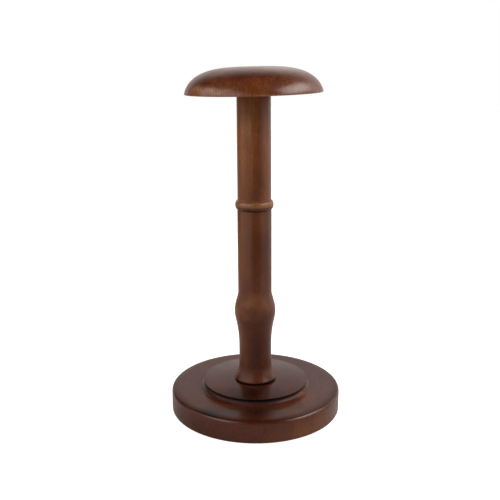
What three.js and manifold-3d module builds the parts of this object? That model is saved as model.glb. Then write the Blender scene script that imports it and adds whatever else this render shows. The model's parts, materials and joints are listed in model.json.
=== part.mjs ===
// Hat stand of turned, stained wood: a stepped round base, a post in two lengths and a domed cap.
// Millimetres, +Z up, origin on the table under the middle of the base.

import * as THREE from 'three';
import { mergeVertices } from 'three/addons/utils/BufferGeometryUtils.js';
import Module from 'manifold-3d';

const wasm = await Module();
wasm.setup();

// Base disc
const baseDiameter = 160;
const baseThickness = 21.25;
const baseTopRound = 3;
const baseBottomRound = 0.8;

// Plinth disc on the base, with an elliptical hollow round its edge that runs out on to the base
const plinthDiameter = 98.8;
const plinthThickness = 6.25;
const plinthHollowReach = 5;
const plinthHollowRise = 3.6;
const plinthFeatherEdge = 0.3;

// Lower post, upwards from the underside of its foot
const lowerPostLength = 164.9;
const lowerPostDiameter = 31.3;
const footDiameter = 39;
const footLipRound = 1.7;
const footFlareAngle = 35;
const neckDiameter = 30.5;
const neckTopHeight = 34.2;
const bulgeDiameter = 38.4;
const bulgeHeight = 68;
const bulgeLowerRadius = 31;
const bulgeUpperRadius = 33;
const shoulderHeight = 85.7;

// Upper post, upwards from the underside of its bead
const upperPostLength = 103.1;
const upperPostBottomDiameter = 30.7;
const upperPostTopDiameter = 30.4;
const beadDiameter = 35.1;
const beadHeight = 8.2;

// Cap: its side follows a full, rounded curve that would be widest some way below the underside
const capDiameter = 122.4;
const capHeight = 22.8;
const capRimRound = 0.7;
const capWidestDrop = 3.55;
const capSideFullness = 3.48;

// How far the post and the cap stand out of true, in degrees
const postLean = 0.445;
const capTiltSideways = 0.97;
const capTiltBack = 0.3;

// Hanger bolt: a metric thread above the wood and a wood thread in it
const threadDiameter = 8;
const threadChamfer = 0.8;
const studStandOut = 15;
const studEmbedment = 25;
const studNeckDiameter = 7;
const studNeckLength = 3;
const studPointLength = 6;

// Threaded insert, the same in the cap and at the lower end of both posts
const insertDiameter = 12.5;
const insertLength = 13;
const insertRecess = 0.5;
const insertChamfer = 0.6;

// Fixing through the base
const boltLength = 35;
const boltHeadDiameter = 14;
const boltHeadHeight = 4.4;
const boltHeadRound = 2;
const socketAcrossFlats = 5;
const socketDepth = 2.6;
const washerDiameter = 20;
const washerThickness = 1.6;
const counterboreDepth = 9;

// Felt pads under the base
const padDiameter = 20;
const padThickness = 1.5;
const padCircleDiameter = 122;
const padEdgeRound = 0.4;
const padCount = 4;

// Clearances: between seated faces that may lean, round metal in its hole, between glued or clamped
// faces, past the end of a metal piece in its hole, and broken edges of turned wood
const seatGap = 0.3;
const holeClearance = 0.3;
const glueLine = 0.05;
const holeEndClearance = 2;
const edgeBreak = 0.3;
const cutOverrun = 1;

// Facets round each turned piece, and steps along each curve
const discSides = 48;
const postSides = 36;
const hardwareSides = 20;
const longCurveSteps = 8;
const shortCurveSteps = 4;

const woodMaterial = (color) => new THREE.MeshStandardMaterial({ color, roughness: 0.38, metalness: 0 });
const baseWood = woodMaterial(0x5a3a30);
const plinthWood = woodMaterial(0x5c3a2e);
const lowerWood = woodMaterial(0x573526);
const upperWood = woodMaterial(0x5e3a27);
const capWood = woodMaterial(0x6a3c2a);
const zincPlate = new THREE.MeshStandardMaterial({ color: 0xb9bcbe, roughness: 0.35, metalness: 1 });
const brassPlate = new THREE.MeshStandardMaterial({ color: 0xb08d4a, roughness: 0.4, metalness: 1 });
const darkFelt = new THREE.MeshStandardMaterial({ color: 0x2b2624, roughness: 0.95, metalness: 0 });

// Points [radius, height] along an ellipse from one angle to another, in degrees, both ends included
function curve(centreRadius, centreHeight, reach, rise, fromAngle, toAngle, steps) {
  const points = [];
  for (let i = 0; i <= steps; i++) {
    const angle = THREE.MathUtils.degToRad(fromAngle + (toAngle - fromAngle) * i / steps);
    points.push([centreRadius + reach * Math.cos(angle), centreHeight + rise * Math.sin(angle)]);
  }
  return points;
}

// Solid of revolution about Z: the outline runs outwards below, up the outside and back in above
function turned(outline, sides) {
  const points = outline.map(([radius, height]) => new THREE.Vector2(Math.max(radius, 0), height));
  const geometry = new THREE.LatheGeometry(points, sides);
  geometry.rotateX(Math.PI / 2);
  return geometry;
}

function turnedRing(outline, sides) {
  return turned([...outline, outline[0]], sides);
}

function addPiece(group, name, geometry, material, height = 0) {
  const mesh = new THREE.Mesh(geometry, material);
  mesh.name = name;
  mesh.position.z = height;
  group.add(mesh);
  return mesh;
}

function asSolid(geometry) {
  const bare = new THREE.BufferGeometry();
  bare.setAttribute('position', geometry.getAttribute('position'));
  bare.setIndex(geometry.getIndex());
  const merged = mergeVertices(bare);
  const vertProperties = Float32Array.from(merged.getAttribute('position').array);
  const triVerts = Uint32Array.from(merged.getIndex().array);
  return new wasm.Manifold(new wasm.Mesh({ numProp: 3, vertProperties, triVerts }));
}

function asGeometry(solid) {
  const mesh = solid.getMesh();
  const geometry = new THREE.BufferGeometry();
  geometry.setAttribute('position', new THREE.BufferAttribute(mesh.vertProperties, 3));
  geometry.setIndex(new THREE.BufferAttribute(mesh.triVerts, 1));
  geometry.computeVertexNormals();
  return geometry;
}

// Holes shared by the wooden pieces
const threadRadius = threadDiameter / 2;
const boltHoleRadius = threadRadius + holeClearance;
const insertHoleRadius = insertDiameter / 2 + holeClearance;
const insertHoleDepth = studStandOut + holeEndClearance;
const studHoleDepth = studEmbedment + holeEndClearance;

function baseGeometry() {
  const radius = baseDiameter / 2;
  const counterboreRadius = washerDiameter / 2 + holeClearance;
  return turnedRing([
    [counterboreRadius, 0],
    ...curve(radius - baseBottomRound, baseBottomRound, baseBottomRound, baseBottomRound,
      -90, 0, shortCurveSteps / 2),
    ...curve(radius - baseTopRound, baseThickness - baseTopRound, baseTopRound, baseTopRound,
      0, 90, shortCurveSteps),
    [boltHoleRadius, baseThickness],
    [boltHoleRadius, counterboreDepth],
    [counterboreRadius, counterboreDepth],
  ], discSides);
}

function plinthGeometry() {
  const radius = plinthDiameter / 2;
  const wallTop = plinthThickness - edgeBreak;
  // The hollow passes through the top edge and ends level where it meets the base
  const angleAtTop = Math.asin((wallTop - plinthHollowRise) / plinthHollowRise);
  const hollowCentre = radius + plinthHollowReach * Math.cos(angleAtTop);
  const topAngle = 180 - THREE.MathUtils.radToDeg(angleAtTop);
  const hollow = curve(hollowCentre, plinthHollowRise, plinthHollowReach, plinthHollowRise,
    270, topAngle, longCurveSteps);
  // The thin end of the hollow is cut off where it is as thick as the feather edge
  const standing = hollow.filter(([, height]) => height > plinthFeatherEdge);
  const cosine = (plinthHollowRise - plinthFeatherEdge) / plinthHollowRise;
  const featherRadius = hollowCentre - plinthHollowReach * Math.sqrt(1 - cosine * cosine);
  return turnedRing([
    [boltHoleRadius, 0],
    [featherRadius, 0],
    [featherRadius, plinthFeatherEdge],
    ...standing,
    [radius - edgeBreak, plinthThickness],
    [boltHoleRadius, plinthThickness],
  ], discSides);
}

function lowerPostOutline() {
  const postRadius = lowerPostDiameter / 2;
  const neckRadius = neckDiameter / 2;
  const bulgeRadius = bulgeDiameter / 2;
  const lipCentre = footDiameter / 2 - footLipRound;

  // Foot: a rounded lip that runs into a concave flare, which ends upright on the neck
  const flare = THREE.MathUtils.degToRad(footFlareAngle);
  const flareRise = lipCentre + footLipRound * Math.cos(flare) - neckRadius;
  const flareRadius = flareRise / (1 - Math.cos(flare));
  const flareTop = footLipRound * (1 + Math.sin(flare)) + flareRadius * Math.sin(flare);

  // Lower side of the bulge: a concave arc and a convex one that meet at one slope
  const swell = bulgeRadius - neckRadius;
  const slope = 2 * Math.atan(swell / (bulgeHeight - neckTopHeight));
  const slopeDegrees = THREE.MathUtils.radToDeg(slope);
  const hollowRadius = (bulgeHeight - neckTopHeight) / Math.sin(slope) - bulgeLowerRadius;

  // Upper side: an arc, and then a straight shoulder to the crisp corner under the post
  const toCornerOut = postRadius - (bulgeRadius - bulgeUpperRadius);
  const toCornerUp = shoulderHeight - bulgeHeight;
  const toCorner = Math.hypot(toCornerOut, toCornerUp);
  const shoulder = Math.atan2(toCornerUp, toCornerOut) - Math.acos(bulgeUpperRadius / toCorner);
  const shoulderDegrees = THREE.MathUtils.radToDeg(shoulder);

  return [
    ...curve(lipCentre, footLipRound, footLipRound, footLipRound, -90, footFlareAngle, shortCurveSteps),
    ...curve(neckRadius + flareRadius, flareTop, flareRadius, flareRadius,
      180 + footFlareAngle, 180, longCurveSteps / 2 + 1).slice(1),
    ...curve(neckRadius + hollowRadius, neckTopHeight, hollowRadius, hollowRadius,
      180, 180 - slopeDegrees, longCurveSteps / 2),
    ...curve(bulgeRadius - bulgeLowerRadius, bulgeHeight, bulgeLowerRadius, bulgeLowerRadius,
      -slopeDegrees, 0, shortCurveSteps).slice(1),
    ...curve(bulgeRadius - bulgeUpperRadius, bulgeHeight, bulgeUpperRadius, bulgeUpperRadius,
      0, shoulderDegrees, shortCurveSteps).slice(1),
    [postRadius, shoulderHeight],
    [postRadius, lowerPostLength - edgeBreak],
    [postRadius - edgeBreak, lowerPostLength],
  ];
}

function lowerPostGeometry() {
  return turned([
    [0, insertHoleDepth],
    [insertHoleRadius, insertHoleDepth],
    [insertHoleRadius, 0],
    ...lowerPostOutline(),
    [boltHoleRadius, lowerPostLength],
    [boltHoleRadius, lowerPostLength - studHoleDepth],
    [0, lowerPostLength - studHoleDepth],
  ], postSides);
}

function upperPostGeometry() {
  const bottomRadius = upperPostBottomDiameter / 2;
  const topRadius = upperPostTopDiameter / 2;
  const beadReach = beadDiameter / 2 - bottomRadius;
  return turned([
    [0, insertHoleDepth],
    [insertHoleRadius, insertHoleDepth],
    [insertHoleRadius, 0],
    ...curve(bottomRadius, beadHeight / 2, beadReach, beadHeight / 2, -90, 90, longCurveSteps),
    [topRadius, upperPostLength - edgeBreak],
    [topRadius - edgeBreak, upperPostLength],
    [boltHoleRadius, upperPostLength],
    [boltHoleRadius, upperPostLength - studHoleDepth],
    [0, upperPostLength - studHoleDepth],
  ], postSides);
}

function capGeometry() {
  const curveHeight = capHeight + capWidestDrop;
  const undersideAngle = Math.asin(capWidestDrop / curveHeight);
  const rimAngle = Math.asin((capWidestDrop + capRimRound) / curveHeight);
  const widest = capDiameter / 2 / Math.cos(undersideAngle) ** (2 / capSideFullness);
  const steps = longCurveSteps + shortCurveSteps;
  const crown = [];
  for (let i = 0; i < steps; i++) {
    const angle = rimAngle + (Math.PI / 2 - rimAngle) * i / steps;
    const radius = widest * Math.cos(angle) ** (2 / capSideFullness);
    crown.push([radius, curveHeight * Math.sin(angle) - capWidestDrop]);
  }
  const rimCentre = crown[0][0] - capRimRound;
  return turned([
    [0, insertHoleDepth],
    [insertHoleRadius, insertHoleDepth],
    [insertHoleRadius, 0],
    ...curve(rimCentre, capRimRound, capRimRound, capRimRound, -90, 0, shortCurveSteps / 2),
    ...crown.slice(1),
    [0, capHeight],
  ], discSides);
}

// Height 0 is the end face of the post that the stud stands in
function studGeometry() {
  const neckRadius = studNeckDiameter / 2;
  const step = threadRadius - neckRadius;
  return turned([
    [0, -studEmbedment],
    [threadRadius, studPointLength - studEmbedment],
    [threadRadius, -studNeckLength],
    [neckRadius, step - studNeckLength],
    [neckRadius, -step],
    [threadRadius, 0],
    [threadRadius, studStandOut - threadChamfer],
    [threadRadius - threadChamfer, studStandOut],
    [0, studStandOut],
  ], hardwareSides);
}

// Height 0 is the mouth of the insert
function insertGeometry() {
  const outer = insertDiameter / 2;
  return turnedRing([
    [boltHoleRadius, 0],
    [outer - insertChamfer, 0],
    [outer, insertChamfer],
    [outer, insertLength - insertChamfer],
    [outer - insertChamfer, insertLength],
    [boltHoleRadius, insertLength],
  ], hardwareSides);
}

// Height 0 is the seat under the head, which hangs below it
function boltGeometry() {
  const headRadius = boltHeadDiameter / 2;
  const body = turned([
    [0, -boltHeadHeight],
    ...curve(headRadius - boltHeadRound, boltHeadRound - boltHeadHeight, boltHeadRound, boltHeadRound,
      -90, 0, shortCurveSteps),
    [headRadius, 0],
    [threadRadius, 0],
    [threadRadius, boltLength - threadChamfer],
    [threadRadius - threadChamfer, boltLength],
    [0, boltLength],
  ], hardwareSides);
  const hexagon = new THREE.Shape();
  const cornerRadius = socketAcrossFlats / 2 / Math.cos(Math.PI / 6);
  for (let i = 0; i < 6; i++) {
    const angle = i * Math.PI / 3;
    const corner = [cornerRadius * Math.cos(angle), cornerRadius * Math.sin(angle)];
    if (i === 0) hexagon.moveTo(...corner);
    else hexagon.lineTo(...corner);
  }
  const socket = new THREE.ExtrudeGeometry(hexagon, { depth: socketDepth + cutOverrun, bevelEnabled: false });
  socket.translate(0, 0, -boltHeadHeight - cutOverrun);
  return asGeometry(asSolid(body).subtract(asSolid(socket)));
}

function washerGeometry() {
  const outer = washerDiameter / 2;
  return turnedRing([
    [boltHoleRadius, 0],
    [outer, 0],
    [outer, washerThickness],
    [boltHoleRadius, washerThickness],
  ], hardwareSides);
}

function padGeometry() {
  const radius = padDiameter / 2;
  return turned([
    [0, 0],
    [radius - padEdgeRound, 0],
    [radius, padEdgeRound],
    [radius, padThickness],
    [0, padThickness],
  ], hardwareSides);
}

// Heights of the level pieces
const baseBottom = padThickness + glueLine;
const plinthBottom = baseBottom + baseThickness + glueLine;
const plinthTop = plinthBottom + plinthThickness;
const washerBottom = baseBottom + counterboreDepth - glueLine - washerThickness;
const boltSeat = washerBottom - glueLine;

const hatStand = new THREE.Group();
for (let i = 0; i < padCount; i++) {
  const angle = 2 * Math.PI * (i + 0.5) / padCount;
  const pad = addPiece(hatStand, `foot_pad_${i + 1}`, padGeometry(), darkFelt);
  pad.position.x = padCircleDiameter / 2 * Math.cos(angle);
  pad.position.y = padCircleDiameter / 2 * Math.sin(angle);
}
addPiece(hatStand, 'base_disc', baseGeometry(), baseWood, baseBottom);
addPiece(hatStand, 'plinth_disc', plinthGeometry(), plinthWood, plinthBottom);
addPiece(hatStand, 'base_washer', washerGeometry(), zincPlate, washerBottom);
addPiece(hatStand, 'base_bolt', boltGeometry(), zincPlate, boltSeat);

// Both lengths of post and what they hold stand on one axis, which leans to the left
const post = new THREE.Group();
post.position.z = plinthTop + seatGap;
post.rotation.y = -THREE.MathUtils.degToRad(postLean);
hatStand.add(post);
addPiece(post, 'lower_post', lowerPostGeometry(), lowerWood);
addPiece(post, 'base_insert', insertGeometry(), brassPlate, insertRecess);
addPiece(post, 'post_stud', studGeometry(), zincPlate, lowerPostLength);

const upperSeat = lowerPostLength + seatGap;
addPiece(post, 'upper_post', upperPostGeometry(), upperWood, upperSeat);
addPiece(post, 'post_insert', insertGeometry(), brassPlate, upperSeat + insertRecess);
addPiece(post, 'cap_stud', studGeometry(), zincPlate, upperSeat + upperPostLength);

// The cap sits out of true on its stud, with its insert in line with the stud
const capSeat = upperSeat + upperPostLength + seatGap;
addPiece(post, 'cap_insert', insertGeometry(), brassPlate, capSeat + insertRecess);
const cap = addPiece(post, 'cap', capGeometry(), capWood, capSeat);
const tiltBack = THREE.MathUtils.degToRad(capTiltBack);
const tiltSideways = THREE.MathUtils.degToRad(capTiltSideways);
cap.rotation.set(-tiltBack, -tiltSideways, 0, 'YXZ');

export default hatStand;
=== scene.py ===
import json
from math import acos, asin, atan, atan2, ceil, cos, degrees, hypot, pi, radians, sin

import bmesh
import bpy
from mathutils import Matrix, Vector, noise


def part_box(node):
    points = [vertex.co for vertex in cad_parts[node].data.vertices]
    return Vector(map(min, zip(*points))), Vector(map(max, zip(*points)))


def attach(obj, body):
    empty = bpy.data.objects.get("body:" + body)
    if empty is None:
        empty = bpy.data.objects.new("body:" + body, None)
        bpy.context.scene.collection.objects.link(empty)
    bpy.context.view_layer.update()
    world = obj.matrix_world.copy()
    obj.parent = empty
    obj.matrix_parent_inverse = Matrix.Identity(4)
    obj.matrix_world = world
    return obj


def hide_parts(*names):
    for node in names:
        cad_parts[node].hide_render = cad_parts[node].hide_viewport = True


mm = 0.001

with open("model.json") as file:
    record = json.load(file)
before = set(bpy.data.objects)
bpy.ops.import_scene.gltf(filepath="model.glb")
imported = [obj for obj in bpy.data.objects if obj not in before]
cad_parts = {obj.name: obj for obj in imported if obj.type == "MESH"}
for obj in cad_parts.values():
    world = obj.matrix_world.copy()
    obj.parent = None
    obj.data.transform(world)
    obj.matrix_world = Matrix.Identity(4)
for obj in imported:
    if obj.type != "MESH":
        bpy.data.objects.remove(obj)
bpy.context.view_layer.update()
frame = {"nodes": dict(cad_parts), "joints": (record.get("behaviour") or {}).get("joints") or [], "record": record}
jointNamed = {joint["name"]: joint for joint in frame["joints"]}
bodies = frame["record"]["behaviour"]["bodies"]
bodyOf = {node: body for body, nodes in bodies.items() for node in nodes}

# The post leans a little: the joints tell where its axis runs and where its pieces sit
postAxis = Vector(jointNamed["post_turn"]["axis"])
upperSeat = Vector(jointNamed["post_turn"]["pos_m"])
capSeat = Vector(jointNamed["cap_turn"]["pos_m"])
lean = Matrix.Rotation(atan2(postAxis.x, postAxis.z), 4, "Y")


def onPost(point, along=0):
    return Matrix.Translation(point + along * postAxis) @ lean


# Camera, as it stood for the photograph
photoCamera = {
    "lens": 55.95,
    "sensor": 36,  # mm wide
    "place": (0, -694.5 * mm, 335.2 * mm),
    "down": 14.49,  # degrees
    "left": 0.435,
}


def makeCamera(view):
    data = bpy.data.cameras.new("photoCamera")
    data.lens = view["lens"]
    data.sensor_width = view["sensor"]
    camera = bpy.data.objects.new("photoCamera", data)
    camera.location = view["place"]
    camera.rotation_euler = (radians(90 - view["down"]), 0, radians(view["left"]))
    bpy.context.scene.collection.objects.link(camera)
    bpy.context.scene.camera = camera


makeCamera(photoCamera)
print("camera set")


# Turning: half an outline is drawn in the XZ plane and spun round Z
turning = {
    "steps": 144,  # round a wooden piece
    "metalSteps": 48,
    "roundStep": 0.3 * mm,  # along a rounded corner
    "merge": 0.002 * mm,
    "sharp": 32,  # degrees, from which an edge is shaded as a corner
}


class Outline:
    def __init__(self, radius, height):
        self.bm = bmesh.new()
        self.tip = self.bm.verts.new((radius, 0, height))
        self.start = self.tip.co.copy()
        self.corners = []

    def line(self, radius, height, rounding=0):
        self.tip = bmesh.ops.extrude_vert_indiv(self.bm, verts=[self.tip])["verts"][0]
        self.tip.co = (radius, 0, height)
        if rounding:
            self.corners.append((self.tip, rounding))

    # Angles run from outwards, 0, to upwards, 90; with reach and rise unlike it is an ellipse
    def arc(self, radius, height, reach, rise, fromAngle, toAngle, steps):
        begin = radians(fromAngle)
        self.line(radius + reach * cos(begin), height + reach * sin(begin))
        before = set(self.bm.verts) - {self.tip}
        sweep = bmesh.ops.spin(
            self.bm, geom=[self.tip], cent=(radius, 0, height), axis=(0, -1, 0), dvec=(0, 0, 0),
            angle=radians(toAngle - fromAngle), steps=steps)
        self.tip = sweep["geom_last"][0]
        swept = [vert for vert in self.bm.verts if vert not in before]
        centre = Matrix.Translation((-radius, 0, -height))
        bmesh.ops.scale(self.bm, vec=(1, 1, rise / reach), space=centre, verts=swept)

    def close(self):
        self.line(self.start.x, self.start.z)

    def turned(self, steps=turning["steps"]):
        for corner, rounding in self.corners:
            bmesh.ops.bevel(
                self.bm, geom=[corner], offset=rounding, offset_type="OFFSET", affect="VERTICES",
                segments=ceil(rounding / turning["roundStep"]) + 1, profile=0.5, material=-1)
        bmesh.ops.spin(
            self.bm, geom=self.bm.verts[:] + self.bm.edges[:], cent=(0, 0, 0), axis=(0, 0, 1),
            dvec=(0, 0, 0), angle=2 * pi, steps=steps, use_merge=True)
        return sealed(self.bm)


def sealed(bm):
    bmesh.ops.remove_doubles(bm, verts=bm.verts[:], dist=turning["merge"])
    bmesh.ops.recalc_face_normals(bm, faces=bm.faces[:])
    return bm


def showPiece(bm, name, node, material, place=Matrix()):
    bm.transform(place)
    mesh = bpy.data.meshes.new(name)
    bm.to_mesh(mesh)
    bm.free()
    mesh.shade_smooth()
    mesh.set_sharp_from_angle(angle=radians(turning["sharp"]))
    mesh.materials.append(material)
    piece = bpy.data.objects.new(name, mesh)
    bpy.context.scene.collection.objects.link(piece)
    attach(piece, bodyOf[node])
    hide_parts(node)


# Shader nodes: each call adds a node, feeds it and gives back the output that is wanted
class Wiring:
    def __init__(self, tree):
        self.tree = tree

    def feed(self, socket, source):
        if isinstance(source, bpy.types.NodeSocket):
            self.tree.links.new(source, socket)
        else:
            socket.default_value = source

    def add(self, kind, inputs=None, **settings):
        node = self.tree.nodes.new(kind)
        for name, value in settings.items():
            setattr(node, name, value)
        for name, source in (inputs or {}).items():
            self.feed(node.inputs[name], source)
        return node

    def math(self, operation, *values):
        return self.add("ShaderNodeMath", dict(enumerate(values)), operation=operation).outputs[0]

    def vector(self, operation, *values):
        return self.add("ShaderNodeVectorMath", dict(enumerate(values)), operation=operation).outputs[0]

    def length(self, vector):
        return self.add("ShaderNodeVectorMath", {0: vector}, operation="LENGTH").outputs["Value"]

    def noise(self, vector, scale, detail=2.0, roughness=0.5, output="Fac"):
        inputs = {"Vector": vector, "Scale": scale, "Detail": detail, "Roughness": roughness}
        return self.add("ShaderNodeTexNoise", inputs).outputs[output]

    def ease(self, value, low, high, toLow=0.0, toHigh=1.0):
        inputs = {"Value": value, "From Min": low, "From Max": high, "To Min": toLow, "To Max": toHigh}
        return self.add("ShaderNodeMapRange", inputs, interpolation_type="SMOOTHSTEP").outputs[0]

    def scaled(self, vector, factor):
        return self.add("ShaderNodeVectorMath", {0: vector, 3: factor}, operation="SCALE").outputs[0]

    # Noise on a stretched vector, as one line of a figure dictionary tells
    def figure(self, vector, look, output="Fac"):
        stretched = self.vector("MULTIPLY", vector, look["stretch"])
        noisy = self.noise(stretched, look["scale"], look["detail"], look["roughness"], output)
        return self.ease(noisy, *look["edge"]) if "edge" in look else noisy

    def mix(self, factor, first, second, blend="MIX"):
        inputs = {0: factor, 6: first, 7: second}
        return self.add("ShaderNodeMix", inputs, data_type="RGBA", blend_type=blend).outputs[2]

    def emboss(self, surface, height, distance, strength):
        inputs = {"Height": height, "Distance": distance, "Strength": strength}
        self.feed(surface["Normal"], self.add("ShaderNodeBump", inputs).outputs[0])


def newGroup(name, inputs, outputs):
    group = bpy.data.node_groups.new(name, "ShaderNodeTree")
    for direction, sockets in (("INPUT", inputs), ("OUTPUT", outputs)):
        for socketName, kind in sockets.items():
            group.interface.new_socket(name=socketName, in_out=direction, socket_type="NodeSocket" + kind)
    wiring = Wiring(group)
    return group, wiring, wiring.add("NodeGroupInput").outputs, wiring.add("NodeGroupOutput").inputs


def newMaterial(name):
    material = bpy.data.materials.new(name)
    material.use_nodes = True
    wiring = Wiring(material.node_tree)
    return material, wiring, material.node_tree.nodes["Principled BSDF"].inputs


# Wood as it lies in its plank: Z runs along the fibres, and X = Y = 0 is the heart of the tree.
# An edge says where a noise begins to show, and where it shows in full.
grainFigure = {
    "sway": {"stretch": (1, 1, 0.2), "scale": 18, "detail": 2, "roughness": 0.5},
    "swayReach": (12 * mm, 12 * mm, 0),
    "yearScale": 130,
    "yearSpread": 3,  # how many rings the wide and narrow years shift the count by
    "ringRise": (0.10, 0.75),  # parts of a ring in which it darkens slowly and pales fast
    "ringFall": (0.78, 1.0),
    "shown": {"stretch": (1, 1, 0.1), "scale": 60, "detail": 2, "roughness": 0.5},
    "shownEdge": (0.35, 0.65),
    "shownLeast": 0.25,
    "rayDistance": 160 * mm,  # from the heart, at which a ray has its true width
    "rays": {"stretch": (0.8, 0.11, 0.22), "scale": 1, "detail": 1, "roughness": 0.5, "edge": (0.38, 0.66)},
    "fine": {"stretch": (1, 1, 0.02), "scale": 1, "detail": 3, "roughness": 0.65},
    "broad": {"stretch": (0.16, 0.16, 0.008), "scale": 1, "detail": 2, "roughness": 0.5},
    "fineShare": 0.6,
    "broadShare": 0.4,
    "streakEdge": (0.3, 0.7),
    "pores": {"stretch": (1, 1, 0.03), "scale": 1.8, "detail": 1, "roughness": 0.4, "edge": (0.58, 0.72)},
    "clouds": {"stretch": (1, 1, 0.5), "scale": 70, "detail": 3, "roughness": 0.55, "edge": (0.3, 0.7)},
}


def buildGrain(look):
    group, w, given, out = newGroup(
        "plankGrain",
        {"Vector": "Vector", "Ring Width": "Float", "Fibre": "Float"},
        {"Rings": "Float", "Rays": "Float", "Streaks": "Float", "Pores": "Float", "Clouds": "Float"})
    plank = given["Vector"]
    sway = w.vector("SUBTRACT", w.figure(plank, look["sway"], "Color"), (0.5, 0.5, 0.5))
    swayed = w.vector("ADD", plank, w.vector("MULTIPLY", sway, look["swayReach"]))
    across = w.length(w.vector("MULTIPLY", swayed, (1, 1, 0)))

    # Wide and narrow years, and years that hardly show
    inputs = {"W": across, "Scale": look["yearScale"], "Detail": 2}
    years = w.add("ShaderNodeTexNoise", inputs, noise_dimensions="1D").outputs["Fac"]
    count = w.math("DIVIDE", across, given["Ring Width"])
    ring = w.math("FRACT", w.math("MULTIPLY_ADD", years, look["yearSpread"], count))
    ring = w.math("MULTIPLY", w.ease(ring, *look["ringRise"]), w.ease(ring, *look["ringFall"], 1.0, 0.0))
    shown = w.ease(w.figure(swayed, look["shown"]), *look["shownEdge"], look["shownLeast"], 1.0)
    w.feed(out["Rings"], w.math("MULTIPLY", ring, shown))

    # Rays run out from the heart: thin round it, long outwards and short along the fibres
    split = w.add("ShaderNodeSeparateXYZ", {0: swayed}).outputs
    rim = w.math("MULTIPLY", w.math("ARCTAN2", split["Y"], split["X"]), look["rayDistance"])
    ray = w.add("ShaderNodeCombineXYZ", {0: rim, 1: across, 2: split["Z"]}).outputs[0]
    w.feed(out["Rays"], w.figure(w.scaled(ray, given["Fibre"]), look["rays"]))

    fibres = w.scaled(swayed, given["Fibre"])
    broad = w.math("MULTIPLY", w.figure(fibres, look["broad"]), look["broadShare"])
    streaks = w.math("MULTIPLY_ADD", w.figure(fibres, look["fine"]), look["fineShare"], broad)
    w.feed(out["Streaks"], w.ease(streaks, *look["streakEdge"]))
    w.feed(out["Pores"], w.figure(fibres, look["pores"]))
    w.feed(out["Clouds"], w.figure(plank, look["clouds"]))
    return group


# Lathe marks, which follow the height, and the texture of brushed lacquer
lacquerFigure = {
    "markScale": 900,
    "peelScale": 420,
    "patchScale": 55,
    "wanderScale": 60,
    "wanderReach": (16 * mm, 16 * mm, 16 * mm),  # how far the edge of a coloured patch, of stain or of painted light and shade, may stray
}


def buildLacquer(look):
    group, w, given, out = newGroup(
        "satinLacquer", {"Vector": "Vector"},
        {"Marks": "Float", "Peel": "Float", "Patches": "Float", "Wander": "Color"})
    height = w.add("ShaderNodeSeparateXYZ", {0: given["Vector"]}).outputs["Z"]
    inputs = {"W": height, "Scale": look["markScale"], "Detail": 2}
    w.feed(out["Marks"], w.add("ShaderNodeTexNoise", inputs, noise_dimensions="1D").outputs["Fac"])
    w.feed(out["Peel"], w.noise(given["Vector"], look["peelScale"]))
    w.feed(out["Patches"], w.noise(given["Vector"], look["patchScale"], 3))
    w.feed(out["Wander"], w.noise(given["Vector"], look["wanderScale"], 3, 0.6, "Color"))
    return group


# Where stain or lacquer lies thicker or thinner, and where light and shade are painted into the colour: a soft
# patch, and a ring round the turning axis
ringCore = 0.2  # the part of a ring's reach that has its full strength


def buildPatch():
    group, w, given, out = newGroup(
        "softPatch", {"Vector": "Vector", "Centre": "Vector", "Reach": "Vector", "Strength": "Float"},
        {"Mask": "Float"})
    apart = w.vector("DIVIDE", w.vector("SUBTRACT", given["Vector"], given["Centre"]), given["Reach"])
    w.feed(out["Mask"], w.math("MULTIPLY", w.ease(w.length(apart), 0.0, 1.0, 1.0, 0.0), given["Strength"]))
    return group


def buildRing():
    group, w, given, out = newGroup(
        "turnedRing",
        {"Vector": "Vector", "Radius": "Float", "Height": "Float", "Across": "Float", "Up": "Float",
         "Strength": "Float"},
        {"Mask": "Float"})
    radius = w.length(w.vector("MULTIPLY", given["Vector"], (1, 1, 0)))
    height = w.add("ShaderNodeSeparateXYZ", {0: given["Vector"]}).outputs["Z"]
    outwards = w.math("DIVIDE", w.math("SUBTRACT", radius, given["Radius"]), given["Across"])
    upwards = w.math("DIVIDE", w.math("SUBTRACT", height, given["Height"]), given["Up"])
    apart = w.length(w.add("ShaderNodeCombineXYZ", {0: outwards, 1: upwards}).outputs[0])
    w.feed(out["Mask"], w.math("MULTIPLY", w.ease(apart, ringCore, 1.0, 1.0, 0.0), given["Strength"]))
    return group


grainGroup = buildGrain(grainFigure)
lacquerGroup = buildLacquer(lacquerFigure)
patchGroup = buildPatch()
ringGroup = buildRing()

stain = {
    "light": (1.25, 1.30, 1.35),  # what the grain makes of a piece's own colour
    "dark": (0.72, 0.64, 0.54),
    "pore": (0.45, 0.36, 0.28),
    "roughness": 0.30,
    "roughnessRange": 0.04,
    "roughnessEdge": (0.3, 0.7),
    "coatRoughness": 0.24,
    "markDepth": 0.3,  # of the lathe's marks, against the lacquer's own texture
    "grainDepth": 0.03 * mm,
    "grainStrength": 0.3,
}


def shade(colour):
    return tuple(colour) + (1,)


# How strongly a patch, streak or ring covers each point. Its line in a dictionary holds its kind,
# its centre and reach in mm (of a ring its radius and height), its strength and, of a stain or of painted light or
# shade, its colour.
def spread(w, place, line):
    kind, centre, reach, strength = line[:4]
    if kind != "ring":
        centre = Vector(centre) * mm
        reach = Vector(reach) * mm
        inputs = {"Vector": place, "Centre": centre, "Reach": reach, "Strength": strength}
        return w.add("ShaderNodeGroup", inputs, node_tree=patchGroup).outputs["Mask"]
    inputs = {"Vector": place, "Radius": centre[0] * mm, "Height": centre[1] * mm,
              "Across": reach[0] * mm, "Up": reach[1] * mm, "Strength": strength}
    return w.add("ShaderNodeGroup", inputs, node_tree=ringGroup).outputs["Mask"]


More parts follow.
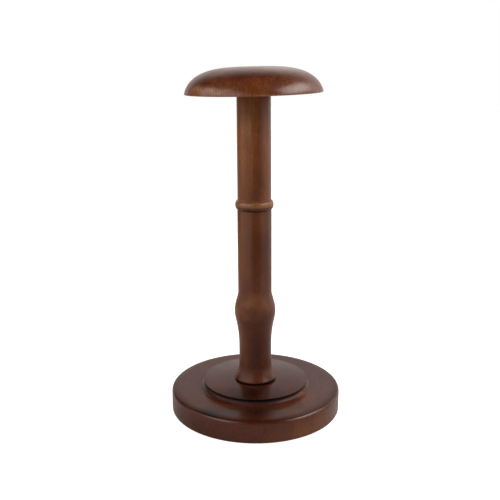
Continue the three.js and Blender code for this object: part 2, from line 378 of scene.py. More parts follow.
def makeWood(name, plank):
    material, w, surface = newMaterial(name)
    place = w.add("ShaderNodeTexCoord").outputs["Object"]
    turn = tuple(radians(angle) for angle in plank["turn"])
    mapped = w.add("ShaderNodeMapping", {"Vector": place, "Location": plank["heart"], "Rotation": turn})
    inputs = {"Vector": mapped.outputs[0], "Ring Width": plank["ringWidth"], "Fibre": plank["fibre"]}
    grain = w.add("ShaderNodeGroup", inputs, node_tree=grainGroup).outputs
    lacquer = w.add("ShaderNodeGroup", {"Vector": place}, node_tree=lacquerGroup).outputs

    # A coloured patch, of stain or of painted light and shade, strays at its edge, while a streak or a ring keeps
    # its line
    stray = w.vector("SUBTRACT", lacquer["Wander"], (0.5, 0.5, 0.5))
    wandering = w.vector("ADD", place, w.vector("MULTIPLY", stray, lacquerFigure["wanderReach"]))
    colour = shade(plank["colour"])
    # Stains, and the painted light, shade, highlights and reflections listed with them, are laid over the piece's
    # colour
    for line in plank["stainsAndPaintedLight"]:
        around = wandering if line[0] == "patch" else place
        colour = w.mix(spread(w, around, line), colour, shade(line[4]))
    tone = w.math("MULTIPLY", grain["Rings"], plank["rings"])
    for output in ("Rays", "Streaks", "Clouds"):
        tone = w.math("MULTIPLY_ADD", grain[output], plank[output.lower()], tone)
    colour = w.mix(1.0, colour, w.mix(tone, shade(stain["light"]), shade(stain["dark"])), "MULTIPLY")
    pores = w.math("MULTIPLY", grain["Pores"], plank["pores"])
    colour = w.mix(pores, colour, w.mix(1.0, colour, shade(stain["pore"]), "MULTIPLY"))
    w.feed(surface["Base Color"], colour)

    rough = plank.get("roughness", stain["roughness"])
    spare = stain["roughnessRange"]
    rough = w.ease(lacquer["Patches"], *stain["roughnessEdge"], rough - spare, rough + spare)
    for line in plank.get("dull", []):
        rough = w.math("ADD", spread(w, place, line), rough)
    w.feed(surface["Roughness"], rough)
    surface["Specular IOR Level"].default_value = plank["specular"]
    coat = plank["coat"]
    for line in plank["lacquer"]:
        coat = w.math("ADD", spread(w, place, line), coat)
    w.feed(surface["Coat Weight"], coat)
    surface["Coat Roughness"].default_value = stain["coatRoughness"]
    height = w.math("MULTIPLY_ADD", lacquer["Marks"], stain["markDepth"], lacquer["Peel"])
    openGrain = w.math("MULTIPLY_ADD", grain["Rays"], plank["rays"], grain["Pores"])
    height = w.math("SUBTRACT", height, openGrain)
    w.emboss(surface, height, stain["grainDepth"], stain["grainStrength"])
    return material


# Plated metal: fine brushing round the piece, duller patches and small pits
platingFigure = {
    "dullEdge": (0.35, 0.7),
    "brushing": {"stretch": (1, 1, 12), "scale": 3, "detail": 2, "roughness": 0.5},
    "pitScale": 8,
    "pitEdge": (0.66, 0.76),
    "pitTint": 0.5,
    "dullRoughness": 0.15,  # what a dull patch adds
    "depth": 0.02 * mm,
    "strength": 0.4,
}


def buildPlating(look):
    group, w, given, out = newGroup(
        "platedMetal",
        {"Vector": "Vector", "Scale": "Float"},
        {"Dull": "Float", "Brushing": "Float", "Pits": "Float"})
    sized = w.scaled(given["Vector"], given["Scale"])
    w.feed(out["Dull"], w.ease(w.noise(sized, 1, 3, 0.6), *look["dullEdge"]))
    w.feed(out["Brushing"], w.figure(sized, look["brushing"]))
    w.feed(out["Pits"], w.ease(w.noise(sized, look["pitScale"], 1), *look["pitEdge"]))
    return group


platingGroup = buildPlating(platingFigure)

zincPlate = {
    "colour": (0.62, 0.64, 0.66, 1),
    "dull": (0.44, 0.45, 0.46, 1),
    "roughness": 0.27,
    "scale": 350,
}
brassPlate = {
    "colour": (0.66, 0.47, 0.20, 1),
    "dull": (0.42, 0.28, 0.12, 1),
    "roughness": 0.30,
    "scale": 300,
}


def makeMetal(name, look):
    material, w, surface = newMaterial(name)
    inputs = {"Vector": w.add("ShaderNodeTexCoord").outputs["Object"], "Scale": look["scale"]}
    plating = w.add("ShaderNodeGroup", inputs, node_tree=platingGroup).outputs
    colour = w.mix(plating["Dull"], look["colour"], look["dull"])
    pitted = w.math("MULTIPLY", plating["Pits"], platingFigure["pitTint"])
    w.feed(surface["Base Color"], w.mix(pitted, colour, look["dull"]))
    surface["Metallic"].default_value = 1
    rough = w.math("MULTIPLY_ADD", plating["Dull"], platingFigure["dullRoughness"], look["roughness"])
    w.feed(surface["Roughness"], rough)
    height = w.math("SUBTRACT", plating["Brushing"], plating["Pits"])
    w.emboss(surface, height, platingFigure["depth"], platingFigure["strength"])
    return material


# Pressed felt: tangled hairs and short fibres
feltLook = {
    "dark": (0.012, 0.010, 0.009, 1),
    "light": (0.040, 0.034, 0.030, 1),
    "lightEdge": (0.3, 0.7),
    "hair": 900,
    "tangle": 9,
    "fibre": 2600,
    "roughness": 1,
    "sheen": 0.3,
    "depth": 0.15 * mm,
    "strength": 0.8,
}


def makeFelt(name, look):
    material, w, surface = newMaterial(name)
    place = w.add("ShaderNodeTexCoord").outputs["Object"]
    tangle = w.noise(w.noise(place, look["hair"], 2, output="Color"), look["tangle"], 3, 0.7)
    fibre = w.noise(place, look["fibre"], 3, 0.7)
    both = w.math("MULTIPLY", w.math("ADD", tangle, fibre), 0.5)
    w.feed(surface["Base Color"], w.mix(w.ease(both, *look["lightEdge"]), look["dark"], look["light"]))
    surface["Roughness"].default_value = look["roughness"]
    surface["Sheen Weight"].default_value = look["sheen"]
    w.emboss(surface, both, look["depth"], look["strength"])
    return material


# Base disc, with the hole and the counterbore for its fixing
baseDisc = {
    "edgeSlope": 13,  # degrees by which the top has turned down where its round edge begins
    "edgeReach": 5.5 * mm,  # how far it takes to do so
    "slopeSteps": 12,
    "edgeRound": 3 * mm,
    "edgeSteps": 16,
    "bottomRound": 0.8 * mm,
    "boltHole": 4.3 * mm,  # radius
    "counterbore": 10.3 * mm,  # radius
    "counterboreDepth": 9 * mm,
    "mouthRound": 0.4 * mm,
    "plank": {
        "colour": (0.078, 0.0195, 0.009), "specular": 0.23, "coat": 0.0, "roughness": 0.27,
        "turn": (90, 0, 0), "heart": (0.16, 0.05, 0), "ringWidth": 3.1 * mm, "fibre": 1500,
        "rings": 0.15, "rays": 0.1, "streaks": 0.35, "clouds": 0.3, "pores": 0.2,
        "stainsAndPaintedLight": [
            ("ring", (54, 23), (8, 4), 0.25, (0.150, 0.0460, 0.014)),
            # Painted highlight: a lighter orange patch on the top by the plinth's right, where the hollow catches
            # the right lamp
            ("patch", (46, -30, 23), (15, 24, 5), 0.75, (0.170, 0.0560, 0.019)),
            # Painted reflection: a dark streak across the front of the top, the post and its foot mirrored in the
            # lacquer
            ("streak", (2, -64, 23), (34, 28, 8), 0.95, (0.024, 0.0060, 0.002)),
            ("patch", (50, -66, 6), (55, 50, 22), 0.9, (0.150, 0.0500, 0.016)),
            ("patch", (-60, -55, 10), (50, 40, 14), 0.7, (0.052, 0.0110, 0.004)),
            # Painted sheen: paler, greyer patches at the back left and back right of the top, the backdrop
            # mirrored at a grazing angle
            ("patch", (-62, 8, 23), (46, 60, 6), 0.8, (0.102, 0.0280, 0.022)),
            ("patch", (64, 6, 23), (44, 62, 6), 0.8, (0.100, 0.0420, 0.042)),
            # Painted shade: two dark rings and a dark streak at the front left inside the rim, where its rounding
            # turns away from the backdrop's reflection
            ("ring", (76, 22.8), (4.5, 1.6), 0.6, (0.058, 0.0080, 0.001)),
            ("streak", (-42, -64, 22.6), (38, 17, 2.2), 1.0, (0.010, 0.0015, 0.001)),
            ("ring", (78, 22.4), (3.4, 1.6), 0.45, (0.018, 0.0030, 0.001)),
        ],
        "lacquer": [
            ("streak", (-32, -74, 21), (26, 14, 1.8), 0.8),
            ("streak", (46, -66, 21.3), (30, 24, 1.8), 0.8),
        ],
    },
}


def makeBase(size):
    low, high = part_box("base_disc")
    radius = high.x
    height = high.z - low.z
    outline = Outline(size["counterbore"], size["counterboreDepth"] / 2)
    outline.line(size["counterbore"], 0, size["mouthRound"])
    outline.line(radius, 0, size["bottomRound"])

    # A round edge and then a wide arc that meet at one slope
    slope, edge = radians(size["edgeSlope"]), size["edgeRound"]
    wide = size["edgeReach"] / sin(slope)
    edgeTop = height - wide * (1 - cos(slope))
    meeting = 90 - size["edgeSlope"]
    outline.arc(radius - edge, edgeTop - edge * cos(slope), edge, edge, 0, meeting, size["edgeSteps"])
    outline.arc(radius - edge + (edge - wide) * sin(slope), height - wide, wide, wide,
                meeting, 90, size["slopeSteps"])
    outline.line(size["boltHole"], height)
    outline.line(size["boltHole"], size["counterboreDepth"])
    outline.line(size["counterbore"], size["counterboreDepth"])
    outline.close()
    showPiece(outline.turned(), "baseDisc", "base_disc",
              makeWood("baseWood", size["plank"]), Matrix.Translation((0, 0, low.z)))


makeBase(baseDisc)
print("base disc turned")


# Plinth disc, with an elliptical hollow round its edge that runs out on to the base
plinthDisc = {
    "radius": 49.4 * mm,
    "hollowReach": 5 * mm,
    "hollowRise": 3.6 * mm,
    "hollowSteps": 24,
    "featherEdge": 0.05 * mm,
    "edgeBreak": 0.3 * mm,
    "boltHole": 4.3 * mm,
    "plank": {
        "colour": (0.078, 0.0210, 0.015), "specular": 0.23, "coat": 0.0, "roughness": 0.22,
        "turn": (90, 0, 0), "heart": (0.13, 0.09, 0), "ringWidth": 2.7 * mm, "fibre": 1500,
        "rings": 0.15, "rays": 0.15, "streaks": 0.35, "clouds": 0.3, "pores": 0.35,
        "stainsAndPaintedLight": [
            ("patch", (-36, -8, 29), (26, 40, 9), 0.8, (0.118, 0.0320, 0.020)),
            # Painted reflection: a very dark patch on the front of the top, the post mirrored there
            ("patch", (-3, -38, 29), (44, 34, 9), 1.0, (0.018, 0.0045, 0.001)),
            # Painted highlight: a lighter orange patch on the hollow's right, where it catches the right lamp
            ("patch", (46, -26, 23.5), (24, 30, 3.5), 0.8, (0.170, 0.0560, 0.019)),
            # Painted shade: a darker patch in the hollow on the left
            ("patch", (-46, -26, 23.5), (16, 30, 4), 0.7, (0.034, 0.0080, 0.004)),
            # Painted shade: a near-black ring under the lip, in the hollow's shadow
            ("ring", (48.6, 26.8), (1.8, 2.8), 1.0, (0.009, 0.0017, 0.001)),
            # Painted shadow: a dark ring on the top round the foot of the post
            ("ring", (19.4, 29), (2.2, 1), 0.8, (0.014, 0.0030, 0.001)),
        ],
        "lacquer": [],
        "dull": [("ring", (48.6, 26.2), (4.5, 3.6), 0.3)],
    },
}


def makePlinth(size):
    low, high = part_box("plinth_disc")
    height = high.z - low.z
    reach, rise = size["hollowReach"], size["hollowRise"]
    topAngle = asin((height - size["edgeBreak"] - rise) / rise)
    centre = size["radius"] + reach * cos(topAngle)
    featherAngle = asin((rise - size["featherEdge"]) / rise)
    outline = Outline(size["boltHole"], 0)
    outline.line(centre - reach * cos(featherAngle), 0)
    outline.arc(centre, rise, reach, rise, 180 + degrees(featherAngle), 180 - degrees(topAngle),
                size["hollowSteps"])
    outline.line(size["radius"], height, size["edgeBreak"])
    outline.line(size["boltHole"], height)
    outline.close()
    showPiece(outline.turned(), "plinthDisc", "plinth_disc",
              makeWood("plinthWood", size["plank"]), Matrix.Translation((0, 0, low.z)))


makePlinth(plinthDisc)
print("plinth disc turned")


seatGap = 0.3 * mm  # between the end grain of a post and what is screwed down on it

# Lower post, upwards from the underside of its foot
lowerPost = {
    "length": 164.9 * mm,
    "radius": 15.65 * mm,
    "footRadius": 19.5 * mm,
    "footLip": 1.7 * mm,
    "footFlare": 35,  # degrees from upright at the lip
    "flareSteps": 20,
    "neckRadius": 15.25 * mm,
    "neckTop": 34.2 * mm,
    "bulgeRadius": 19.2 * mm,
    "bulgeHeight": 68 * mm,
    "bulgeBelow": 31 * mm,  # radius of the curve under the widest place, and above it
    "bulgeAbove": 33 * mm,
    "shoulder": 85.7 * mm,
    "curveSteps": 14,  # along the lip and each arc from neck to shoulder
    "edgeBreak": 0.3 * mm,
    "plank": {
        "colour": (0.094, 0.0270, 0.0105), "specular": 0.23, "coat": 0.0,
        "turn": (0, 0, 0), "heart": (0.09, 0.055, 0), "ringWidth": 2.3 * mm, "fibre": 1300,
        "rings": 0.05, "rays": 0.1, "streaks": 0.4, "clouds": 0.3, "pores": 0.12,
        "stainsAndPaintedLight": [
            # Stain, and in part painted light: a lighter golden band down the lit left side
            ("patch", (-16, -8, 160), (15, 22, 90), 0.9, (0.150, 0.0460, 0.010)),
            # Painted reflection: a darker band down the front, right of centre, where the post mirrors a dark part
            # of the room
            ("patch", (8, -13, 150), (12, 16, 100), 0.7, (0.062, 0.0170, 0.007)),
            ("patch", (-2, -15, 186), (20, 10, 16), 0.6, (0.140, 0.0460, 0.014)),
            ("patch", (6, -13, 122), (18, 16, 26), 0.6, (0.105, 0.0350, 0.015)),
            # Painted reflection: a dark patch down the front of the neck
            ("patch", (4, -15, 63), (20, 22, 44), 1.0, (0.048, 0.0062, 0.001)),
            # Painted light and shade on the bulge: lighter patches on its upper face and sides, a darker one low
            # on the right
            ("patch", (-3, -18, 110), (26, 15, 9.5), 1.0, (0.155, 0.0580, 0.023)),
            ("patch", (-15, -12, 103), (9, 12, 12), 0.8, (0.160, 0.0520, 0.017)),
            ("patch", (9, -17, 96), (13, 12, 9), 0.6, (0.070, 0.0190, 0.006)),
            ("patch", (14, -12, 106), (9, 12, 11), 0.7, (0.140, 0.0520, 0.027)),
            ("patch", (-9, -16, 97), (8, 12, 9), 0.6, (0.150, 0.0500, 0.017)),
            ("patch", (-12, -12, 68), (7, 12, 36), 0.8, (0.120, 0.0330, 0.009)),
            ("ring", (20, 36), (9, 8), 0.7, (0.110, 0.0340, 0.014)),
            ("patch", (15, -13, 31), (8, 12, 6), 0.8, (0.040, 0.0080, 0.002)),
            # Painted shadow: a near-black ring round the lip of the foot, where it meets the plinth
            ("ring", (19.4, 29.6), (3, 1.8), 1.0, (0.010, 0.0025, 0.001)),
        ],
        "lacquer": [],
    },
}

# Bores in the end grain of both posts and the cap
bores = {
    "insert": 6.55 * mm,  # radius
    "insertDepth": 17 * mm,
    "stud": 4.3 * mm,  # radius
    "studDepth": 27 * mm,
}


def startWithInsertBore():
    outline = Outline(0, bores["insertDepth"])
    outline.line(bores["insert"], bores["insertDepth"])
    outline.line(bores["insert"], 0)
    return outline


def endWithStudBore(outline, length):
    outline.line(bores["stud"], length)
    outline.line(bores["stud"], length - bores["studDepth"])
    outline.line(0, length - bores["studDepth"])


def makeLowerPost(size):
    neck, bulge, bulgeHeight = size["neckRadius"], size["bulgeRadius"], size["bulgeHeight"]
    lip, flare = size["footLip"], radians(size["footFlare"])
    lipCentre = size["footRadius"] - lip
    flareRadius = (lipCentre + lip * cos(flare) - neck) / (1 - cos(flare))
    flareTop = lip * (1 + sin(flare)) + flareRadius * sin(flare)

    # Neck to bulge: a hollow arc and a full one that meet at one slope
    below, above = size["bulgeBelow"], size["bulgeAbove"]
    slope = 2 * atan((bulge - neck) / (bulgeHeight - size["neckTop"]))
    hollow = (bulgeHeight - size["neckTop"]) / sin(slope) - below

    # Bulge to post: an arc and then a straight line to the corner
    cornerOut = size["radius"] - (bulge - above)
    cornerUp = size["shoulder"] - bulgeHeight
    shoulder = atan2(cornerUp, cornerOut) - acos(above / hypot(cornerOut, cornerUp))

    steps = size["curveSteps"]
    outline = startWithInsertBore()
    outline.arc(lipCentre, lip, lip, lip, -90, size["footFlare"], steps)
    outline.arc(neck + flareRadius, flareTop, flareRadius, flareRadius,
                180 + size["footFlare"], 180, size["flareSteps"])
    outline.arc(neck + hollow, size["neckTop"], hollow, hollow, 180, 180 - degrees(slope), steps)
    outline.arc(bulge - below, bulgeHeight, below, below, -degrees(slope), 0, steps)
    outline.arc(bulge - above, bulgeHeight, above, above, 0, degrees(shoulder), steps)
    outline.line(size["radius"], size["shoulder"])
    outline.line(size["radius"], size["length"], size["edgeBreak"])
    endWithStudBore(outline, size["length"])
    showPiece(outline.turned(), "lowerPost", "lower_post",
              makeWood("lowerWood", size["plank"]), onPost(upperSeat, -seatGap - size["length"]))


makeLowerPost(lowerPost)
print("lower post turned")


# Upper post, upwards from the underside of its bead
upperPost = {
    "length": 103.1 * mm,
    "bottomRadius": 15.35 * mm,
    "topRadius": 15.2 * mm,
    "beadRadius": 17.55 * mm,
    "beadHeight": 8.2 * mm,
    "beadSteps": 28,
    "edgeBreak": 0.3 * mm,
    "plank": {
        "colour": (0.152, 0.0480, 0.0155), "specular": 0.23, "coat": 0.0,
        "turn": (0, 0, 0), "heart": (-0.07, 0.08, 0.4), "ringWidth": 2.6 * mm, "fibre": 1300,
        "rings": 0.06, "rays": 0.1, "streaks": 0.45, "clouds": 0.3, "pores": 0.25,
        "stainsAndPaintedLight": [
            # Stain, and in part painted light: a lighter golden band down the lit left side
            ("patch", (-14, -8, 262), (13, 22, 72), 0.9, (0.215, 0.0730, 0.018)),
            # Painted sheen: a pinker, greyer patch down the right side, the backdrop mirrored there
            ("patch", (14, -8, 245), (12, 20, 90), 0.6, (0.135, 0.0500, 0.027)),
            ("patch", (-3, -15, 278), (7, 9, 46), 0.9, (0.215, 0.0840, 0.026)),
            # Painted sheen: more of it on the right side, higher up
            ("patch", (9, -12, 270), (9, 10, 40), 0.8, (0.168, 0.0640, 0.033)),
            ("patch", (-9, -13, 270), (9, 9, 13), 0.7, (0.270, 0.1000, 0.026)),
            # Painted reflection: darker patches down the front, at and right of centre, where the post mirrors a
            # dark part of the room
            ("patch", (1.5, -15, 212), (12, 10, 46), 0.95, (0.078, 0.0210, 0.004)),
            ("patch", (5.5, -15, 250), (5, 8, 60), 0.4, (0.090, 0.0280, 0.009)),
            ("streak", (-3.6, -15, 236), (1.2, 6, 30), 0.5, (0.210, 0.0780, 0.022)),
            ("streak", (-1.2, -15, 262), (0.9, 6, 20), 0.4, (0.230, 0.0860, 0.024)),
            # Painted highlight: a lighter ring on the upper half of the bead
            ("ring", (17.5, 201), (6, 4.2), 0.9, (0.230, 0.0940, 0.036)),
            # Painted shade: a dark ring on the underside of the bead
            ("ring", (17.5, 195.6), (4, 3.4), 0.95, (0.050, 0.0140, 0.004)),
        ],
        "lacquer": [("ring", (17.5, 201.2), (2.4, 2.2), 0.5)],
    },
}


def makeUpperPost(size):
    halfBead = size["beadHeight"] / 2
    standOut = size["beadRadius"] - size["bottomRadius"]
    outline = startWithInsertBore()
    outline.arc(size["bottomRadius"], halfBead, standOut, halfBead, -90, 90, size["beadSteps"])
    outline.line(size["topRadius"], size["length"], size["edgeBreak"])
    endWithStudBore(outline, size["length"])
    showPiece(outline.turned(), "upperPost", "upper_post",
              makeWood("upperWood", size["plank"]), onPost(upperSeat))


makeUpperPost(upperPost)
print("upper post turned")


# Cap: its side follows a full, rounded curve that would be widest some way below the underside
cap = {
    "radius": 61.2 * mm,
    "height": 22.8 * mm,
    "rimRound": 0.7 * mm,
    "rimSteps": 6,
    "widestDrop": 3.55 * mm,
    "fullness": 3.48,
    "tiltSideways": 0.97,  # degrees
    "tiltBack": 0.3,
    "steps": 48,
    "plank": {
        "colour": (0.162, 0.0480, 0.020), "specular": 0.25, "coat": 0.12, "roughness": 0.30,
        "turn": (90, 0, 0), "heart": (0.01, 0.13, 0.2), "ringWidth": 2.9 * mm, "fibre": 1300,
        "rings": 0.2, "rays": 0.7, "streaks": 0.3, "clouds": 0.3, "pores": 0.35,
        "stainsAndPaintedLight": [
            # Painted sheen: a pinker patch over the top, the backdrop mirrored at a grazing angle
            ("patch", (0, -20, 322), (62, 50, 7), 0.8, (0.225, 0.0850, 0.073)),
            ("patch", (-4, -60, 304), (18, 14, 16), 0.8, (0.200, 0.0560, 0.011)),
            # Painted shade: a dark band round the front of the dome, where it mirrors the dark room
            ("patch", (0, -44, 315), (60, 26, 4.5), 0.75, (0.080, 0.0150, 0.004)),
            # Painted shade: a dark patch at the upper left, darkening the reflection there
            ("patch", (-46, -28, 311), (22, 24, 7), 0.9, (0.070, 0.0080, 0.001)),
            # Painted highlight: a lighter patch and two pale flecks at the lower left, where the left lamp is
            # mirrored
            ("patch", (-42, -43, 302), (34, 30, 7), 0.75, (0.300, 0.1300, 0.058)),
            ("patch", (-49, -34, 303.5), (9, 16, 2.6), 0.85, (0.360, 0.1800, 0.090)),
            ("patch", (-32, -50, 301.5), (14, 16, 2), 0.75, (0.360, 0.1700, 0.080)),
            # Painted highlight: a lighter ring round the lower rim
            ("ring", (61, 298.5), (4, 2.5), 0.8, (0.260, 0.1100, 0.048)),
        ],
        "lacquer": [
            ("patch", (30, -50, 304), (30, 28, 10), 0.55),
            ("patch", (24, -6, 320), (50, 60, 9), 0.65),
            ("patch", (-24, -10, 320.5), (36, 50, 6), 0.4),
            ("patch", (-34, -46, 302), (38, 34, 7.5), 0.25),
        ],
    },
}


def makeCap(size):
    drop, rim, power = size["widestDrop"], size["rimRound"], 2 / size["fullness"]
    rise = size["height"] + drop
    widest = size["radius"] / cos(asin(drop / rise)) ** power
    rimAngle = asin((drop + rim) / rise)
    outline = startWithInsertBore()
    outline.arc(widest * cos(rimAngle) ** power - rim, rim, rim, rim, -90, 0, size["rimSteps"])
    for step in range(1, size["steps"]):
        angle = rimAngle + (pi / 2 - rimAngle) * step / size["steps"]
        outline.line(widest * cos(angle) ** power, rise * sin(angle) - drop)
    outline.line(0, size["height"])
    tilt = Matrix.Rotation(radians(-size["tiltSideways"]), 4, "Y")
    tilt = tilt @ Matrix.Rotation(radians(-size["tiltBack"]), 4, "X")
    showPiece(outline.turned(), "domedCap", "cap",
              makeWood("capWood", size["plank"]), onPost(capSeat) @ tilt)


makeCap(cap)
print("cap turned")


# Threads: one pitch of the outline climbs a helix, and its ends are cut square
threads = {
    "stepsPerTurn": 32,
    # radii of root and crest, the pitch, and the shares of it that root and crest take
    "metric": {"root": 3.24 * mm, "crest": 4 * mm, "pitch": 1.25 * mm, "rootPart": 0.22, "crestPart": 0.12},
    "wood": {"root": 2.9 * mm, "crest": 4 * mm, "pitch": 3.2 * mm, "rootPart": 0.5, "crestPart": 0.06},
    "nut": {"root": 4.7 * mm, "crest": 4.1 * mm, "pitch": 1.25 * mm, "rootPart": 0.16, "crestPart": 0.2},
    "coarse": {
        "root": 5.4 * mm, "crest": 6.25 * mm, "pitch": 2.6 * mm, "rootPart": 0.45, "crestPart": 0.08},
}


def threaded(kind, bottom, top):
    thread = threads[kind]
    pitch, root, crest, crestPart = thread["pitch"], thread["root"], thread["crest"], thread["crestPart"]
    flank = (1 - thread["rootPart"] - crestPart) / 2
    start = bottom - pitch
    outline = Outline(root, start)
    outline.line(crest, start + pitch * flank)
    outline.line(crest, start + pitch * (flank + crestPart))
    outline.line(root, start + pitch * (2 * flank + crestPart))
    outline.line(root, start + pitch)
    bm = outline.bm
    steps = threads["stepsPerTurn"]
    turns = ceil((top - bottom) / pitch) + 2  # with a turn to cut off at each end
    bmesh.ops.spin(
        bm, geom=bm.verts[:] + bm.edges[:], cent=(0, 0, 0), axis=(0, 0, 1),
        dvec=(0, 0, pitch / steps), angle=2 * pi * turns, steps=steps * turns)
    bmesh.ops.remove_doubles(bm, verts=bm.verts[:], dist=turning["merge"])
    for height, side in ((bottom, "clear_inner"), (top, "clear_outer")):
        bmesh.ops.bisect_plane(
            bm, geom=bm.verts[:] + bm.edges[:] + bm.faces[:], dist=turning["merge"] / 10,
            plane_co=(0, 0, height), plane_no=(0, 0, 1), **{side: True})
    return bm


def openEdges(bm, height):
    return [edge for edge in bm.edges if edge.is_boundary
            and all(abs(vert.co.z - height) < turning["merge"] for vert in edge.verts)]


def closeEnd(bm, height):
    bmesh.ops.triangle_fill(bm, edges=openEdges(bm, height), use_beauty=True)


# Draws in what stands further out than a cone from startRadius at one height to endRadius at another
def taper(bm, start, end, startRadius, endRadius):
    for vert in bm.verts:
        share = (vert.co.z - start) / (end - start)
        radius = hypot(vert.co.x, vert.co.y)
        limit = startRadius + (endRadius - startRadius) * min(share, 1)
        if share > 0 and radius > limit:
            vert.co.x *= limit / radius
            vert.co.y *= limit / radius


def joinTo(bm, other):
    mesh = bpy.data.meshes.new("joining")
    other.to_mesh(mesh)
    other.free()
    bm.from_mesh(mesh)
    bpy.data.meshes.remove(mesh)


# Hanger bolt: a metric thread above the wood, a plain neck and a wood thread below
stud = {
    "standOut": 15 * mm,
    "embedment": 25 * mm,
    "neckRadius": 3.5 * mm,
    "neckLength": 3 * mm,
    "chamfer": 0.8 * mm,
    "pointLength": 6 * mm,
    "pointRadius": 0.4 * mm,
}


def makeStud(name, node, place, size):
    bm = threaded("metric", 0, size["standOut"])
    crest = threads["metric"]["crest"]
    taper(bm, size["standOut"] - size["chamfer"], size["standOut"], crest, crest - size["chamfer"])
    closeEnd(bm, size["standOut"])
    neck = Outline(size["neckRadius"], 0)
    neck.line(size["neckRadius"], -size["neckLength"])
    joinTo(bm, neck.turned(threads["stepsPerTurn"]))
    lower = threaded("wood", -size["embedment"], -size["neckLength"])
    pointTop = size["pointLength"] - size["embedment"]
    taper(lower, pointTop, -size["embedment"], threads["wood"]["crest"], size["pointRadius"])
    closeEnd(lower, -size["embedment"])
    joinTo(bm, lower)
    closeEnd(bm, 0)
    closeEnd(bm, -size["neckLength"])
    showPiece(sealed(bm), name, node, zinc, place)


zinc = makeMetal("zincPlate", zincPlate)
brass = makeMetal("brassPlate", brassPlate)
makeStud("postStud", "post_stud", onPost(upperSeat, -seatGap), stud)
makeStud("capStud", "cap_stud", onPost(capSeat, -seatGap), stud)
print("studs threaded")


# Threaded insert: a coarse thread outside holds it in the wood
insert = {
    "length": 13 * mm,
    "recess": 0.5 * mm,
    "chamfer": 0.5 * mm,
}


def makeInsert(name, node, place, size):
    bm = threaded("coarse", 0, size["length"])
    crest = threads["coarse"]["crest"]
    taper(bm, size["length"] - size["chamfer"], size["length"], crest, crest - size["chamfer"])
    joinTo(bm, threaded("nut", 0, size["length"]))
    closeEnd(bm, 0)
    closeEnd(bm, size["length"])
    showPiece(sealed(bm), name, node, brass, place)


footUp = -seatGap - lowerPost["length"]  # the underside of the foot, from the upper post's seat
makeInsert("baseInsert", "base_insert", onPost(upperSeat, footUp + insert["recess"]), insert)
makeInsert("postInsert", "post_insert", onPost(upperSeat, insert["recess"]), insert)
makeInsert("capInsert", "cap_insert", onPost(capSeat, insert["recess"]), insert)
print("inserts threaded")


# Button-head bolt with a hexagon socket, up through the base and the plinth, and its washer
baseBolt = {
    "length": 35 * mm,
    "headRadius": 7 * mm,
    "headHeight": 4.4 * mm,
    "headRound": 2 * mm,
    "faceRadius": 3.4 * mm,  # of the flat round the socket
    "socketAcross": 5 * mm,
    "socketDepth": 2.6 * mm,
    "chamfer": 0.8 * mm,
    "washerRadius": 10 * mm,
    "washerHole": 4.3 * mm,
    "washerRound": 0.3 * mm,
}


def makeBolt(size):
    steps = turning["metalSteps"]
    face = -size["headHeight"]
    outline = Outline(size["faceRadius"], face)
    outline.line(size["headRadius"], face, size["headRound"])
    outline.line(size["headRadius"], 0, size["washerRound"])
    outline.line(size["washerHole"], 0)
    bm = outline.turned(steps)

    # Hexagon socket: each side has as many points as its part of the ring that it is bridged to
    ring = openEdges(bm, face)
    corner = size["socketAcross"] / 2 / cos(pi / 6)
    hexagon = bmesh.ops.create_circle(
        bm, cap_ends=False, radius=corner, segments=6, matrix=Matrix.Translation((0, 0, face)))
    sides = list({edge for vert in hexagon["verts"] for edge in vert.link_edges})
    bmesh.ops.subdivide_edges(bm, edges=sides, cuts=steps // 6 - 1)
    mouth = [edge for edge in openEdges(bm, face) if edge not in ring] + [
        edge for edge in bm.edges if edge.is_wire]
    bmesh.ops.bridge_loops(bm, edges=ring + mouth)
    walls = bmesh.ops.extrude_edge_only(bm, edges=mouth)["geom"]
    floor = [item for item in walls if isinstance(item, bmesh.types.BMVert)]
    bmesh.ops.translate(bm, vec=(0, 0, size["socketDepth"]), verts=floor)
    closeEnd(bm, face + size["socketDepth"])

    rod = threaded("metric", 0, size["length"])
    crest = threads["metric"]["crest"]
    taper(rod, size["length"] - size["chamfer"], size["length"], crest, crest - size["chamfer"])
    closeEnd(rod, size["length"])
    joinTo(bm, rod)
    closeEnd(bm, 0)
    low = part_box("base_bolt")[0]
    showPiece(sealed(bm), "baseBolt", "base_bolt", zinc,
              Matrix.Translation((0, 0, low.z + size["headHeight"])))


def makeWasher(size):
    low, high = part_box("base_washer")
    thickness = high.z - low.z
    outline = Outline(size["washerHole"], thickness / 2)
    outline.line(size["washerHole"], 0, size["washerRound"] / 2)
    outline.line(size["washerRadius"], 0, size["washerRound"])
    outline.line(size["washerRadius"], thickness, size["washerRound"])
    outline.line(size["washerHole"], thickness)
    outline.close()
    showPiece(outline.turned(turning["metalSteps"] * 2), "baseWasher", "base_washer", zinc,
              Matrix.Translation((0, 0, low.z)))


makeBolt(baseBolt)
makeWasher(baseBolt)
print("bolt and washer made")


# Felt pads, a little frayed round the edge
feltPads = {
    "edgeRound": 0.6 * mm,
    "rings": 10,
    "steps": 96,
    "fraying": 0.12 * mm,
    "frayScale": 1 / (0.5 * mm),
}


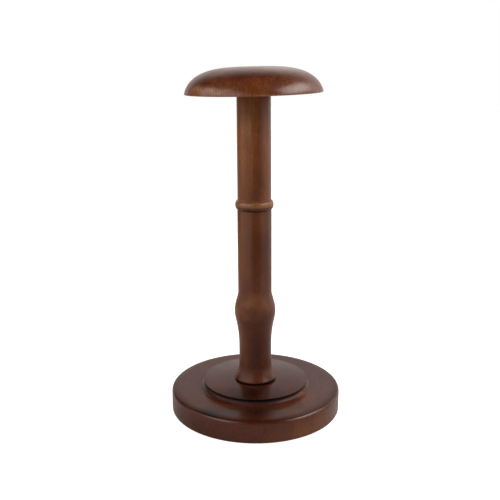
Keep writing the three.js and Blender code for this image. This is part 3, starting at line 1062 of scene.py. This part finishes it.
def makePads(size):
    material = makeFelt("darkFelt", feltLook)
    pads = sorted(node for node in frame["nodes"] if node.startswith("foot_pad"))
    for number, node in enumerate(pads, 1):
        low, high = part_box(node)
        centre, thickness = (low + high) / 2, high.z - low.z
        radius = (high.x - low.x) / 2 - size["fraying"]
        outline = Outline(0, 0)
        for ring in range(1, size["rings"]):
            outline.line(radius * ring / size["rings"], 0)
        outline.line(radius, 0, size["edgeRound"])
        outline.line(radius, thickness, size["edgeRound"] / 3)
        outline.line(0, thickness)
        bm = outline.turned(size["steps"])
        for vert in bm.verts:
            if hypot(vert.co.x, vert.co.y) > radius - size["edgeRound"]:
                where = Vector((vert.co.x, vert.co.y, vert.co.z + number)) * size["frayScale"]
                grow = 1 + noise.noise(where) * size["fraying"] / radius
                vert.co.x *= grow
                vert.co.y *= grow
        showPiece(bm, f"footPad{number}", node, material,
                  Matrix.Translation((centre.x, centre.y, low.z)))


makePads(feltPads)
print("felt pads cut")


# Stage and light: a pale floor and backdrop, soft lamps on both sides and a dark room in front
studio = {
    "floorSize": 8,
    "floorGlow": 0.92,  # what the camera sees besides the lamps' light on the floor
    "floorGloss": 0.1,  # and what reflections see
    "floorColour": (0.8, 0.8, 0.8, 1),
    "floorRoughness": 0.9,
    "lightColour": (1, 0.94, 0.9),
    "backdrop": 0.8,
    "backdropTurn": 10,  # degrees from straight behind, towards the right
    "backdropFrom": 0.45,  # cosine of the angle from its middle at which it starts
    "backdropTo": 0.8,  # and at which it is at its brightest
    "room": 0.02,
    "lampAim": 150 * mm,  # the height that all lamps point at
    "lamps": [
        # name, azimuth and height in degrees from the front, distance, width, height, watts
        ("rightKey", 83, 40, 1.6, 1.6, 0.75, 15),
        ("rightFill", 89, 18, 2.0, 3.6, 1.8, 22),
        ("leftKey", -60, 35, 1.6, 2.2, 0.7, 12.5),
        ("leftFill", -62, 8.5, 1.6, 2.9, 0.64, 8),
    ],
}


def makeFloor(settings):
    bm = bmesh.new()
    bmesh.ops.create_grid(bm, x_segments=2, y_segments=2, size=settings["floorSize"] / 2)
    mesh = bpy.data.meshes.new("floor")
    bm.to_mesh(mesh)
    bm.free()
    floor = bpy.data.objects.new("floor", mesh)
    bpy.context.scene.collection.objects.link(floor)
    material, w, surface = newMaterial("floor")
    surface["Base Color"].default_value = settings["floorColour"]
    surface["Roughness"].default_value = settings["floorRoughness"]
    rays = w.add("ShaderNodeLightPath").outputs
    w.feed(surface["Emission Color"], (1, 1, 1, 1))
    glow = w.math("MULTIPLY", rays["Is Glossy Ray"], settings["floorGloss"])
    glow = w.math("MULTIPLY_ADD", rays["Is Camera Ray"], settings["floorGlow"], glow)
    w.feed(surface["Emission Strength"], glow)
    mesh.materials.append(material)


def makeWorld(settings):
    world = bpy.data.worlds.new("studio")
    world.use_nodes = True
    bpy.context.scene.world = world
    w = Wiring(world.node_tree)
    rays = w.add("ShaderNodeLightPath").outputs
    turn = radians(settings["backdropTurn"])
    inputs = {0: w.add("ShaderNodeTexCoord").outputs["Generated"], 1: (sin(turn), cos(turn), 0)}
    towards = w.add("ShaderNodeVectorMath", inputs, operation="DOT_PRODUCT").outputs["Value"]
    behind = w.ease(towards, settings["backdropFrom"], settings["backdropTo"],
                    settings["room"], settings["backdrop"])
    seen = w.math("MAXIMUM", rays["Is Camera Ray"], rays["Is Transmission Ray"])
    background = world.node_tree.nodes["Background"].inputs
    lit = w.mix(behind, (0, 0, 0, 1), shade(settings["lightColour"]))
    w.feed(background["Color"], w.mix(seen, lit, (1, 1, 1, 1)))


def makeLamp(settings, name, azimuth, elevation, distance, width, height, watts):
    data = bpy.data.lights.new(name, "AREA")
    data.shape = "RECTANGLE"
    data.size = width
    data.size_y = height
    data.energy = watts
    data.color = settings["lightColour"]
    lamp = bpy.data.objects.new(name, data)
    turn, rise = radians(azimuth), radians(elevation)
    aim = Vector((0, 0, settings["lampAim"]))
    away = Vector((sin(turn) * cos(rise), -cos(turn) * cos(rise), sin(rise)))
    lamp.location = aim + distance * away
    lamp.rotation_euler = away.to_track_quat("Z", "Y").to_euler()
    lamp.visible_camera = False
    bpy.context.scene.collection.objects.link(lamp)


makeFloor(studio)
makeWorld(studio)
for lampLine in studio["lamps"]:
    makeLamp(studio, *lampLine)
bpy.context.scene.view_settings.view_transform = "Standard"
print("stage and lamps set")
